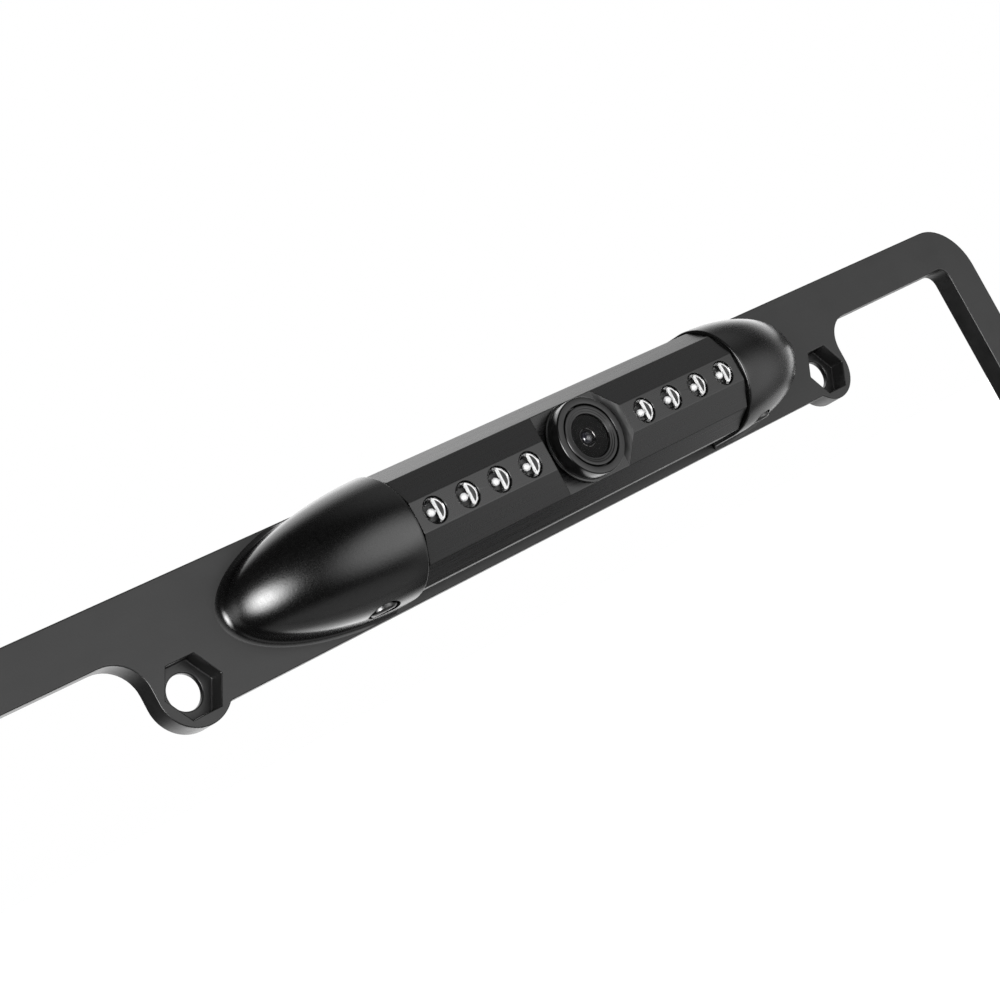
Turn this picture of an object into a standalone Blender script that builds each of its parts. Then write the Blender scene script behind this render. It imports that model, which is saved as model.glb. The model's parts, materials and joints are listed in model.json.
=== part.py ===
"""Backup camera in a US licence-plate frame, as separate solid pieces.

X runs across the vehicle, the front faces -Y and +Z is up. The origin lies midway between the two
upper plate bolts, on the frame's back face. Lengths are in millimetres until they reach Blender.
"""
import math

import bmesh
import bpy
from mathutils import Matrix, Vector

MM = 0.001
GAP = 0.3                      # air between two pieces that touch on the real object
REACH = 2.0                    # how far a cutter runs past the face it opens

# Plate frame
BOLT_X = 177.8 / 2             # plate bolts stand 7 in apart
LOWER_BOLT_Z = -120.65         # and 4.75 in below each other
PLATE_T = 5.15
FRAME_HALF_W = 154.9
FRAME_TOP = 19.35
FRAME_BOTTOM = -142.3
TOP_RAIL_W = 9.9
SIDE_RAIL_W = 10.4
BOTTOM_RAIL_W = 7.4
BAR_LOW = -5.0                 # lower edge of the wide top bar
LUG_R = 7.15
LUG_FILLET = 6.8
OUTER_CORNER_R = 12.6
INNER_CORNER_R = 3.0
HEX_ACROSS_FLATS = 10.1
HEX_DEPTH = 3.75
BOLT_HOLE_R = 3.35

# Tilting tube: a regular prism with a flat facing -Y
TUBE_SIDES = 12
TUBE_R = 11.65
TUBE_Y = -PLATE_T - 6.6
TUBE_Z = 7.9
TUBE_HALF = 44.8
BORE_R = 7.4
NOTCH_FLOOR = TUBE_R * math.cos(math.pi / 4)
NOTCH_FLOOR_HALF = 8.4
NOTCH_TOP_HALF = 10.8
FACET = TUBE_R * math.cos(math.pi / TUBE_SIDES)
TUBE_SLOT_HALF_X = 48.3
TUBE_SLOT_HALF_Z = 10.0

# End caps
CAP_MOUTH = 45.3
CAP_R = 12.05
CAP_LENGTH = 32.6
CAP_WIDTH_POWER = 2.0
CAP_HEIGHT_POWER = 1.7
CAP_WALL = 1.7
CAP_THINNEST = 0.4             # half width left at the tip of a loft
MOUTH_BORE_R = 11.35
MOUTH_DEPTH = 3.7
BULKHEAD_END = 57.3

# Screws that hold the caps, driven from the back
CAP_SCREW_X = 61.5
CAP_SCREW_Z = 5.6
CAP_SCREW_R = 1.3
CAP_SCREW_HEAD_R = 2.7
CAP_SCREW_TIP = 11.6
BOSS_R = 2.9

# Journals and lock screws
JOURNAL_R = 4.5
JOURNAL_END = 57.0
PLUG_START = 43.7
PLUG_FLANGE_R = 11.0
PLUG_FLANGE_END = 47.6
RING_R = 6.0
RING_START = 47.9
RING_END = 48.7
LOCK_X = 53.1
LOCK_Y = TUBE_Y - 1.2
LOCK_RECESS_R = 3.2
LOCK_RECESS_DEPTH = 2.2
LOCK_HEAD_R = 2.7
LOCK_SHANK_R = 1.5
PAD_R = 1.4

# LEDs
LED_R = 2.45
LED_FLANGE_R = 2.8
LED_BACK = 2.9
LED_PROUD = 0.3                # how far a dome stands out of its facet
LED_DOME = 0.5
LED_FIRST_X = 16.0
LED_PITCH = 8.08
LEDS_PER_SIDE = 4
BOARD_NEAR = 13.0
BOARD_FAR = 42.9
BOARD_HALF_Z = 5.2

# Camera stack: distances in front of the tube axis
LENS_FRONT = 12.1
BARREL_R = 7.85
BARREL_STEM_R = 6.0
BARREL_BACK = 5.2
BEZEL_R = 6.1
BEZEL_BACK = 10.5
GLASS_R = 4.4
GLASS_T = 1.25
GLASS_BACK = LENS_FRONT - 1.5
GLAND_R = 2.5

ROUND = 24                     # sides of a middling round piece
FINE = 16                      # sides of a small one


# ------------------------------------------------------------------ materials and objects

def clear_scene():
    for obj in list(bpy.data.objects):
        bpy.data.objects.remove(obj, do_unlink=True)


def make_material(name, colour, roughness, metallic=0.0, alpha=1.0):
    material = bpy.data.materials.new(name)
    material.use_nodes = True
    shader = material.node_tree.nodes["Principled BSDF"]
    shader.inputs["Base Color"].default_value = (*colour, 1.0)
    shader.inputs["Roughness"].default_value = roughness
    shader.inputs["Metallic"].default_value = metallic
    shader.inputs["Alpha"].default_value = alpha
    return material


def make_materials():
    return {
        "frame": make_material("frame_black", (0.045, 0.045, 0.045), 0.55),
        "cap": make_material("cap_black", (0.02, 0.02, 0.02), 0.22),
        "tube": make_material("tube_black", (0.035, 0.035, 0.036), 0.38, 0.3),
        "barrel": make_material("barrel_black", (0.02, 0.02, 0.02), 0.4),
        "led": make_material("led_clear", (0.85, 0.87, 0.88), 0.05, 0.0, 0.5),
        "glass": make_material("lens_glass", (0.03, 0.03, 0.04), 0.03, 0.0, 0.6),
        "rubber": make_material("seal_rubber", (0.02, 0.02, 0.02), 0.8),
        "steel": make_material("screw_black_steel", (0.12, 0.12, 0.12), 0.35, 0.9),
        "brass": make_material("pad_brass", (0.6, 0.45, 0.2), 0.4, 1.0),
        "board": make_material("board_green", (0.03, 0.16, 0.07), 0.5),
        "sensor": make_material("sensor_ceramic", (0.2, 0.2, 0.22), 0.4),
        "plastic": make_material("holder_black", (0.03, 0.03, 0.03), 0.5),
        "ribbon": make_material("ribbon_tan", (0.6, 0.35, 0.12), 0.5),
    }


def finish_mesh(name, bm, material=None):
    """Turns a bmesh in millimetres into an object in metres."""
    bmesh.ops.recalc_face_normals(bm, faces=bm.faces[:])
    bmesh.ops.scale(bm, vec=(MM, MM, MM), verts=bm.verts[:])
    mesh = bpy.data.meshes.new(name)
    bm.to_mesh(mesh)
    bm.free()
    obj = bpy.data.objects.new(name, mesh)
    bpy.context.scene.collection.objects.link(obj)
    if material is not None:
        mesh.materials.append(material)
    mesh.shade_smooth()
    mesh.set_sharp_from_angle(angle=math.radians(32))
    return obj


def hide_cutter(obj):
    obj.hide_render = True
    obj.display_type = 'WIRE'
    return obj


def cut(obj, cutters):
    for cutter in cutters:
        modifier = obj.modifiers.new(cutter.name, 'BOOLEAN')
        modifier.operation = 'DIFFERENCE'
        modifier.solver = 'EXACT'
        modifier.object = cutter


# ------------------------------------------------------------------ shapes

def arc(centre, radius, start, end, steps):
    """Points on an arc, angles in degrees, both ends included."""
    points = []
    for i in range(steps + 1):
        angle = math.radians(start + (end - start) * i / steps)
        points.append((centre[0] + radius * math.cos(angle), centre[1] + radius * math.sin(angle)))
    return points


def add_prism(bm, outline, low, high, place):
    """A straight prism: outline is in the plane, and place maps (u, v, depth) to a position."""
    rings = []
    for depth in (low, high):
        rings.append([bm.verts.new(place(u, v, depth)) for u, v in outline])
    count = len(outline)
    for i in range(count):
        j = (i + 1) % count
        bm.faces.new((rings[0][i], rings[0][j], rings[1][j], rings[1][i]))
    bm.faces.new(rings[0])
    bm.faces.new(rings[1])


def along_x(u, v, depth):
    return Vector((depth, u, v))


def along_y(u, v, depth):
    return Vector((u, depth, v))


def along_z(u, v, depth):
    return Vector((u, v, depth))


def prism(name, outline, low, high, place, material=None):
    bm = bmesh.new()
    add_prism(bm, outline, low, high, place)
    return finish_mesh(name, bm, material)


def disc(name, centre, radius, low, high, place, material=None, sides=ROUND):
    step = 360 / sides
    outline = arc(centre, radius, step / 2, 360 - step / 2, sides - 1)
    return prism(name, outline, low, high, place, material)


def box(name, low, high, material=None):
    outline = [(low[0], low[2]), (high[0], low[2]), (high[0], high[2]), (low[0], high[2])]
    return prism(name, outline, low[1], high[1], along_y, material)


def turned_bmesh(profile, matrix, sides):
    """A turned solid from (height, radius) pairs; a radius of 0 is a point on the axis."""
    bm = bmesh.new()
    rings = []
    for height, radius in profile:
        if radius == 0:
            rings.append([bm.verts.new(matrix @ Vector((0, 0, height)))])
            continue
        ring = []
        for i in range(sides):
            angle = 2 * math.pi * (i + 0.5) / sides
            point = Vector((radius * math.cos(angle), radius * math.sin(angle), height))
            ring.append(bm.verts.new(matrix @ point))
        rings.append(ring)
    closed = profile[0][1] != 0
    last = len(rings) if closed else len(rings) - 1
    for i in range(last):
        lower = rings[i]
        upper = rings[(i + 1) % len(rings)]
        for j in range(sides):
            k = (j + 1) % sides
            if len(lower) == 1:
                bm.faces.new((lower[0], upper[j], upper[k]))
            elif len(upper) == 1:
                bm.faces.new((lower[j], lower[k], upper[0]))
            else:
                bm.faces.new((lower[j], lower[k], upper[k], upper[j]))
    return bm


def turned(name, profile, matrix, material=None, sides=ROUND):
    return finish_mesh(name, turned_bmesh(profile, matrix, sides), material)


def plug_profile(steps):
    """(height, radius) pairs of a solid turned piece, closed onto the axis at both ends."""
    return [(steps[0][0], 0)] + list(steps) + [(steps[-1][0], 0)]


def facing_front(x=0.0, z=TUBE_Z):
    """Local +Z becomes -Y, with the origin on the tube axis."""
    return Matrix.Translation((x, TUBE_Y, z)) @ Matrix.Rotation(math.pi / 2, 4, 'X')


def facing_side(sign):
    """Local +Z becomes +X or -X, with the origin on the tube axis."""
    return Matrix.Translation((0, TUBE_Y, TUBE_Z)) @ Matrix.Rotation(sign * math.pi / 2, 4, 'Y')


# ------------------------------------------------------------------ plate frame

def outer_outline():
    r = OUTER_CORNER_R
    x = FRAME_HALF_W - r
    top = FRAME_TOP - r
    bottom = FRAME_BOTTOM + r
    return (arc((x, top), r, 0, 90, 6) + arc((-x, top), r, 90, 180, 6)
            + arc((-x, bottom), r, 180, 270, 6) + arc((x, bottom), r, 270, 360, 6))


def upper_half_of_window():
    """The window's edge from the right rail, over the right lug and bar, to the left rail."""
    rail_low = FRAME_TOP - TOP_RAIL_W
    inner_x = FRAME_HALF_W - SIDE_RAIL_W
    corner = arc((inner_x - INNER_CORNER_R, rail_low - INNER_CORNER_R), INNER_CORNER_R, 0, 90, 3)
    fillet_x = BOLT_X + LUG_R + LUG_FILLET
    fillet = arc((fillet_x, rail_low - LUG_FILLET), LUG_FILLET, 90, 180, 5)
    end_angle = 180 + math.degrees(math.asin(-BAR_LOW / LUG_R))
    lug = arc((BOLT_X, 0), LUG_R, 0, -(360 - end_angle), 9)
    right = corner + fillet + lug
    left = [(-x, z) for x, z in reversed(right)]
    return right + left


def lower_half_of_window():
    """The lower rail's edge from left to right, with a lug round each lower bolt."""
    rail_top = FRAME_BOTTOM + BOTTOM_RAIL_W
    inner_x = FRAME_HALF_W - SIDE_RAIL_W
    corner = arc((inner_x - INNER_CORNER_R, rail_top + INNER_CORNER_R), INNER_CORNER_R, 0, -90, 3)
    outside = arc((BOLT_X + LUG_R + LUG_FILLET, rail_top + LUG_FILLET), LUG_FILLET, 270, 180, 5)
    lug = arc((BOLT_X, LOWER_BOLT_Z), LUG_R, 0, 180, 9)
    inside = arc((BOLT_X - LUG_R - LUG_FILLET, rail_top + LUG_FILLET), LUG_FILLET, 0, -90, 5)
    right = corner + outside + lug + inside
    left = [(-x, z) for x, z in right]
    return left + list(reversed(right))


def bolt_cutters(side, level, z):
    """A hexagon pocket for the bolt's head, and the hole behind it."""
    centre = (side * BOLT_X, z)
    hexagon = arc(centre, HEX_ACROSS_FLATS / math.sqrt(3), 0, 300, 5)
    tag = f"{level}_{side}"
    pocket = prism(f"cut_hex_{tag}", hexagon, -PLATE_T - REACH, HEX_DEPTH - PLATE_T, along_y)
    hole = disc(f"cut_bolt_{tag}", centre, BOLT_HOLE_R, -PLATE_T - REACH, REACH, along_y)
    return [pocket, hole]


def cap_screw_cutters(side, up):
    """A clearance hole for a cap's screw, with a counterbore for its head."""
    centre = (side * CAP_SCREW_X, TUBE_Z + up * CAP_SCREW_Z)
    tag = f"{side}_{up}"
    hole_r = CAP_SCREW_R + 0.5
    head_r = CAP_SCREW_HEAD_R + 0.4
    hole = disc(f"cut_cap_screw_{tag}", centre, hole_r, -PLATE_T - REACH, REACH, along_y, sides=FINE)
    seat = disc(f"cut_cap_head_{tag}", centre, head_r, -2.5, REACH, along_y, sides=FINE)
    return [hole, seat]


def make_frame_plate(material):
    plate = prism("frame_plate", outer_outline(), -PLATE_T, 0, along_y, material)
    window = upper_half_of_window() + lower_half_of_window()
    cutters = [prism("cut_window", window, -PLATE_T - REACH, REACH, along_y)]
    slot_low = (-TUBE_SLOT_HALF_X, -PLATE_T - REACH, TUBE_Z - TUBE_SLOT_HALF_Z)
    slot_high = (TUBE_SLOT_HALF_X, REACH, TUBE_Z + TUBE_SLOT_HALF_Z)
    cutters.append(box("cut_tube_slot", slot_low, slot_high))
    for side in (-1, 1):
        for level, z in (("upper", 0), ("lower", LOWER_BOLT_Z)):
            cutters += bolt_cutters(side, level, z)
        for up in (-1, 1):
            cutters += cap_screw_cutters(side, up)
    cut(plate, [hide_cutter(cutter) for cutter in cutters])
    return plate


# ------------------------------------------------------------------ end caps

def cap_section(fraction, shrink):
    """D-shaped section at a fraction of the cap's length: straight walls, then half an ellipse."""
    width = (1 - fraction ** CAP_WIDTH_POWER) ** (1 / CAP_WIDTH_POWER)
    height = (1 - fraction ** CAP_HEIGHT_POWER) ** (1 / CAP_HEIGHT_POWER)
    half = max(CAP_R * width - shrink, CAP_THINNEST)
    wall = -PLATE_T - TUBE_Y
    top = max((wall + CAP_R) * height - shrink, CAP_THINNEST)
    straight = top * wall / (wall + CAP_R)
    points = [(-PLATE_T + (REACH if shrink else -GAP), TUBE_Z - half)]
    for i in range(13):
        angle = math.pi * i / 12
        y = -PLATE_T - straight - (top - straight) * math.sin(angle)
        points.append((y, TUBE_Z - half * math.cos(angle)))
    points.append((-PLATE_T + (REACH if shrink else -GAP), TUBE_Z + half))
    return points


def cap_bmesh(side, start, shrink, length):
    """Lofts the cap's sections from a start plane to its tip."""
    bm = bmesh.new()
    first = (start - CAP_MOUTH) / CAP_LENGTH
    last = 0.995 * (length - shrink) / CAP_LENGTH
    turns = 9
    rings = []
    for i in range(turns + 1):
        sweep = math.sin(math.pi / 2 * i / turns)
        fraction = first + (last - first) * sweep
        x = side * (CAP_MOUTH + CAP_LENGTH * fraction)
        rings.append([bm.verts.new((x, y, z)) for y, z in cap_section(fraction, shrink)])
    for lower, upper in zip(rings, rings[1:]):
        for j in range(len(lower)):
            k = (j + 1) % len(lower)
            bm.faces.new((lower[j], lower[k], upper[k], upper[j]))
    bm.faces.new(rings[0])
    bm.faces.new(rings[-1])
    return bm


def cap_hollow(side):
    """The room behind the bulkhead, left solid where the two screw bosses stand."""
    hollow = finish_mesh(f"cut_hollow_{side}", cap_bmesh(side, BULKHEAD_END, CAP_WALL, CAP_LENGTH))
    bosses = []
    for up in (-1, 1):
        name = f"keep_boss_{side}_{up}"
        centre = (side * CAP_SCREW_X, TUBE_Z + up * CAP_SCREW_Z)
        bosses.append(disc(name, centre, BOSS_R, TUBE_Y - 2 * CAP_R, 4 * REACH, along_y, sides=FINE))
    cut(hollow, [hide_cutter(boss) for boss in bosses])
    return hollow


def lock_cutters(side):
    """The recess and threaded hole for a lock screw, up through the cap's underside."""
    centre = (side * LOCK_X, LOCK_Y)
    under = TUBE_Z - CAP_R
    seat = under + LOCK_RECESS_DEPTH
    recess = disc(f"cut_lock_recess_{side}", centre, LOCK_RECESS_R, under - REACH, seat, along_z, sides=FINE)
    thread = disc(f"cut_lock_thread_{side}", centre, LOCK_SHANK_R + GAP, under, TUBE_Z, along_z, sides=FINE)
    return [recess, thread]


def make_end_cap(name, side, material):
    cap = finish_mesh(name, cap_bmesh(side, CAP_MOUTH, 0, CAP_LENGTH), material)
    axis = facing_side(side)
    mouth = plug_profile([(CAP_MOUTH - REACH, MOUTH_BORE_R), (CAP_MOUTH + MOUTH_DEPTH, MOUTH_BORE_R)])
    bore = plug_profile([(CAP_MOUTH, JOURNAL_R + GAP), (BULKHEAD_END + REACH, JOURNAL_R + GAP)])
    cutters = [cap_hollow(side)]
    cutters.append(turned(f"cut_mouth_{side}", mouth, axis, sides=36))
    cutters.append(turned(f"cut_journal_{side}", bore, axis))
    cutters += lock_cutters(side)
    for up in (-1, 1):
        centre = (side * CAP_SCREW_X, TUBE_Z + up * CAP_SCREW_Z)
        pilot = (-CAP_SCREW_TIP - GAP, REACH)
        cutters.append(disc(f"cut_pilot_{side}_{up}", centre, CAP_SCREW_R + GAP, *pilot, along_y, sides=FINE))
    cut(cap, [hide_cutter(cutter) for cutter in cutters])
    return cap


def make_cap_screw(name, side, up, material):
    """A pan-head screw driven from the back of the frame."""
    place = Matrix.Translation((side * CAP_SCREW_X, 0, TUBE_Z + up * CAP_SCREW_Z))
    place = place @ Matrix.Rotation(math.pi / 2, 4, 'X')
    head_end = 2.1
    steps = [(0.3, CAP_SCREW_HEAD_R - 0.5), (0.8, CAP_SCREW_HEAD_R), (head_end, CAP_SCREW_HEAD_R),
             (head_end, CAP_SCREW_R), (CAP_SCREW_TIP - 1, CAP_SCREW_R), (CAP_SCREW_TIP, 0.6)]
    screw = turned(name, plug_profile(steps), place, material, FINE)
    drive = arc((side * CAP_SCREW_X, TUBE_Z + up * CAP_SCREW_Z), 1.2, 0, 300, 5)
    cut(screw, [hide_cutter(prism(f"cut_drive_{name}", drive, -1.3, REACH, along_y))])
    return screw


# ------------------------------------------------------------------ lock screws

def make_lock_screw(name, side, material):
    """A socket-head screw up through the cap's underside, modelled about its own axis."""
    under = -CAP_R
    head_end = under + LOCK_RECESS_DEPTH - GAP
    steps = [(under + 0.4, LOCK_HEAD_R - 0.4), (under + 0.8, LOCK_HEAD_R), (head_end, LOCK_HEAD_R),
             (head_end, LOCK_SHANK_R), (-JOURNAL_R - 1.2, LOCK_SHANK_R)]
    screw = turned(name, plug_profile(steps), Matrix.Identity(4), material, FINE)
    socket = disc(f"cut_socket_{side}", (0, 0), 1.45, under - REACH, under + 1.4, along_z, sides=6)
    place = Vector((side * LOCK_X, LOCK_Y, TUBE_Z)) * MM
    screw.location = place
    socket.location = place
    cut(screw, [hide_cutter(socket)])
    return screw


def make_lock_pad(name, side, material):
    """A soft brass pad between a lock screw's tip and the journal."""
    centre = (side * LOCK_X, LOCK_Y)
    top = TUBE_Z - JOURNAL_R - 0.15
    return disc(name, centre, PAD_R, top - 0.85, top, along_z, material, FINE)


# ------------------------------------------------------------------ tilting tube

def tube_outline():
    half_step = 180 / TUBE_SIDES
    return arc((TUBE_Y, TUBE_Z), TUBE_R, half_step, 360 - half_step, TUBE_SIDES - 1)


def led_positions():
    positions = []
    for side in (-1, 1):
        for i in range(LEDS_PER_SIDE):
            positions.append((side, i, side * (LED_FIRST_X + LED_PITCH * i)))
    return positions


def make_tube_housing(material):
    tube = prism("tube_housing", tube_outline(), -TUBE_HALF, TUBE_HALF, along_x, material)
    floor = TUBE_Y - NOTCH_FLOOR
    slope = (NOTCH_TOP_HALF - NOTCH_FLOOR_HALF) / (FACET - NOTCH_FLOOR)
    reach = FACET - NOTCH_FLOOR + REACH
    wide = NOTCH_FLOOR_HALF + slope * reach
    notch = [(-NOTCH_FLOOR_HALF, floor), (NOTCH_FLOOR_HALF, floor),
             (wide, floor - reach), (-wide, floor - reach)]
    cutters = [prism("cut_notch", notch, TUBE_Z - 20, TUBE_Z + 20, along_z)]
    far = TUBE_HALF + REACH
    front = TUBE_Y - TUBE_R - REACH
    back = TUBE_Y + TUBE_R + REACH
    camera = (0, TUBE_Z)
    cutters.append(disc("cut_bore", (TUBE_Y, TUBE_Z), BORE_R, -far, far, along_x))
    cutters.append(disc("cut_camera", camera, BARREL_STEM_R + GAP, front, TUBE_Y, along_y))
    cutters.append(disc("cut_gland", camera, GLAND_R + GAP, TUBE_Y, back, along_y, sides=FINE))
    for side, i, x in led_positions():
        name = f"cut_led_{side}_{i}"
        cutters.append(disc(name, (x, TUBE_Z), LED_R + 0.2, front, TUBE_Y, along_y, sides=FINE))
    cut(tube, [hide_cutter(cutter) for cutter in cutters])
    return tube


def make_end_plug(name, side, material):
    """Spigot in the tube's bore, a flange over its end and the journal in the cap."""
    shoulder = TUBE_HALF + GAP
    spigot_r = BORE_R - GAP
    steps = [(PLUG_START, spigot_r), (shoulder, spigot_r), (shoulder, PLUG_FLANGE_R),
             (PLUG_FLANGE_END, PLUG_FLANGE_R), (PLUG_FLANGE_END, JOURNAL_R),
             (JOURNAL_END - 0.6, JOURNAL_R), (JOURNAL_END, JOURNAL_R - 0.6)]
    return turned(name, plug_profile(steps), facing_side(side), material)


def make_friction_ring(name, side, material):
    inner = JOURNAL_R + GAP
    crown = (RING_START + RING_END) / 2
    ring = [(RING_START, inner), (RING_START, RING_R - 0.3), (crown, RING_R),
            (RING_END, RING_R - 0.3), (RING_END, inner)]
    return turned(name, ring, facing_side(side), material)


def make_led(name, x, material):
    """A 5 mm LED: flange, straight body and dome, with a low dome just proud of the facet."""
    dome = []
    tip = FACET + LED_PROUD
    for i in range(4):
        angle = math.radians(90 * i / 4)
        height = tip - LED_DOME + LED_DOME * math.sin(angle)
        dome.append((height, LED_R * math.cos(angle)))
    flange_end = LED_BACK + 0.9
    flange = [(LED_BACK, LED_FLANGE_R), (flange_end, LED_FLANGE_R), (flange_end, LED_R)]
    profile = [(LED_BACK, 0)] + flange + dome + [(tip, 0)]
    return turned(name, profile, facing_front(x), material, FINE)


def make_led_board(name, side, material):
    ends = sorted((side * BOARD_NEAR, side * BOARD_FAR))
    low = (ends[0], TUBE_Y - 2.6, TUBE_Z - BOARD_HALF_Z)
    high = (ends[1], TUBE_Y - 1.4, TUBE_Z + BOARD_HALF_Z)
    return box(name, low, high, material)


def make_board_lead(name, side, material):
    """A flat ribbon from the LED board back to the sensor board."""
    near = 8.6
    far = BOARD_NEAR - GAP
    thick = 0.3
    low = TUBE_Y + 0.1
    high = TUBE_Y - 2.2
    front = [(near, low), (near + 1.2, low), (far - 0.9, high), (far, high)]
    back = [(far, high + thick), (far - 0.8, high + thick), (near + 1.3, low + thick), (near, low + thick)]
    outline = [(side * x, y) for x, y in front + back]
    return prism(name, outline, TUBE_Z - 2.5, TUBE_Z + 2.5, along_z, material)


# ------------------------------------------------------------------ camera

def make_camera_barrel(material):
    """A rounded head over the notch's floor, and a stem through it that carries the optics."""
    floor = NOTCH_FLOOR + GAP
    inner = GLASS_R + 0.6
    lip = BEZEL_R + 0.15
    step = BEZEL_BACK - GAP
    edge = 0.5
    profile = [(BARREL_BACK, inner), (step, inner), (step, lip), (LENS_FRONT, lip),
               (LENS_FRONT, BARREL_R - edge), (LENS_FRONT - edge, BARREL_R), (floor + 0.6, BARREL_R),
               (floor + 0.5, BARREL_R + 0.4), (floor, BARREL_R + 0.4),
               (floor, BARREL_STEM_R), (BARREL_BACK, BARREL_STEM_R)]
    return turned("camera_barrel", profile, facing_front(), material, 36)


def make_lens_bezel(material):
    inner = GLASS_R + GAP
    face = LENS_FRONT - 0.1
    profile = [(BEZEL_BACK, inner), (face - 0.2, inner), (face, inner + 0.2),
               (face, BEZEL_R - 0.1), (face - 0.2, BEZEL_R), (BEZEL_BACK, BEZEL_R)]
    return turned("lens_bezel", profile, facing_front(), material, 36)


def make_front_stack(materials):
    """Cover glass, its seal, the lens barrel and three lens elements."""
    front = facing_front()
    glass = plug_profile([(GLASS_BACK, GLASS_R), (GLASS_BACK + GLASS_T, GLASS_R)])
    turned("cover_glass", glass, front, materials["glass"])
    seal_low = GLASS_BACK - 0.9
    seal_high = GLASS_BACK - 0.15
    seal = [(seal_low, 3.7), (seal_low, 4.45), (seal_high, 4.35), (seal_high, 3.7)]
    turned("glass_seal", seal, front, materials["rubber"])
    lens_front = GLASS_BACK - 1.1
    back = 3.6
    bore = 2.0
    outside = 4.5
    barrel = [(back, bore), (lens_front - 1.0, bore), (lens_front, 2.6), (lens_front, 3.4),
              (lens_front - 0.4, outside), (back, outside)]
    turned("lens_barrel", barrel, front, materials["plastic"])
    lenses = (("front_lens", lens_front - 1.1, 1.2), ("middle_lens", 6.4, 0.9), ("rear_lens", 4.2, 0.9))
    for name, low, thick in lenses:
        steps = [(low, 1.8), (low + thick * 0.5, 1.8), (low + thick * 0.85, 1.1)]
        profile = [(low, 0)] + steps + [(low + thick, 0)]
        turned(name, profile, front, materials["glass"], FINE)


def centred_box(name, half_x, half_z, low_y, high_y, material=None):
    """A box centred on the camera's axis, its depth given from the tube's axis."""
    low = (-half_x, TUBE_Y + low_y, TUBE_Z - half_z)
    high = (half_x, TUBE_Y + high_y, TUBE_Z + half_z)
    return box(name, low, high, material)


def make_sensor_stack(materials):
    """Lens holder with the infrared filter in it, over the image sensor and its board."""
    holder = centred_box("lens_holder", 5.0, 5.0, -3.3, -0.4, materials["plastic"])
    well = centred_box("cut_well", 3.6, 3.6, -2.4, REACH)
    light = disc("cut_light", (0, TUBE_Z), 2.0, TUBE_Y - 5, TUBE_Y, along_y, sides=FINE)
    cut(holder, [hide_cutter(well), hide_cutter(light)])
    centred_box("ir_filter", 2.6, 2.6, -2.1, -1.6, materials["glass"])
    centred_box("image_sensor", 3.0, 2.6, -1.2, -0.4, materials["sensor"])
    centred_box("sensor_board", 8.3, 5.4, -0.1, 1.1, materials["board"])


def make_cable_gland(material):
    """Rubber gland flush in the tube's back facet, with an open way through for the cable."""
    way = 1.6
    inside = 6.3
    outside = FACET - 0.05
    steps = [(-outside, way), (-outside, GLAND_R), (-inside, GLAND_R), (-inside, GLAND_R + 0.8),
             (0.7 - inside, GLAND_R + 0.8), (0.7 - inside, way)]
    return turned("cable_gland", steps, facing_front(), material, FINE)


# ------------------------------------------------------------------ assembly

def hang_on_pivot(pieces):
    """Parents the tilting pieces to an empty on the tube's axis."""
    pivot = bpy.data.objects.new("tube_pivot", None)
    bpy.context.scene.collection.objects.link(pivot)
    pivot.location = Vector((0, TUBE_Y, TUBE_Z)) * MM
    bpy.context.view_layer.update()
    for piece in pieces:
        piece.parent = pivot
        piece.matrix_parent_inverse = pivot.matrix_world.inverted()


def make_fixed_pieces(materials):
    make_frame_plate(materials["frame"])
    for side, word in ((-1, "left"), (1, "right")):
        make_end_cap(f"{word}_end_cap", side, materials["cap"])
        make_lock_pad(f"{word}_lock_pad", side, materials["brass"])
        make_lock_screw(f"{word}_lock_screw", side, materials["steel"])
        for up, level in ((-1, "lower"), (1, "upper")):
            make_cap_screw(f"{word}_{level}_cap_screw", side, up, materials["steel"])


def make_tilting_pieces(materials):
    make_tube_housing(materials["tube"])
    for side, word in ((-1, "left"), (1, "right")):
        make_end_plug(f"{word}_end_plug", side, materials["plastic"])
        make_friction_ring(f"{word}_friction_ring", side, materials["rubber"])
        make_led_board(f"{word}_led_board", side, materials["board"])
        make_board_lead(f"{word}_board_lead", side, materials["ribbon"])
    for side, i, x in led_positions():
        word = "left" if side < 0 else "right"
        make_led(f"{word}_led_{i + 1}", x, materials["led"])
    make_camera_barrel(materials["barrel"])
    make_lens_bezel(materials["barrel"])
    make_front_stack(materials)
    make_sensor_stack(materials)
    make_cable_gland(materials["rubber"])


def main():
    clear_scene()
    materials = make_materials()
    make_fixed_pieces(materials)
    fixed = set(bpy.data.objects)
    make_tilting_pieces(materials)
    hang_on_pivot([obj for obj in bpy.data.objects if obj not in fixed])


main()
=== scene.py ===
"""Looks for the licence-plate-frame backup camera: meshes, materials, light and camera.

Lengths are in millimetres until a mesh is finished. The overall sizes and the joints' places come from
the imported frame.
X runs across the vehicle, the front faces -Y and +Z is up.
"""
import json
import math

import bmesh
import bpy
from mathutils import Matrix, Vector


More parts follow.
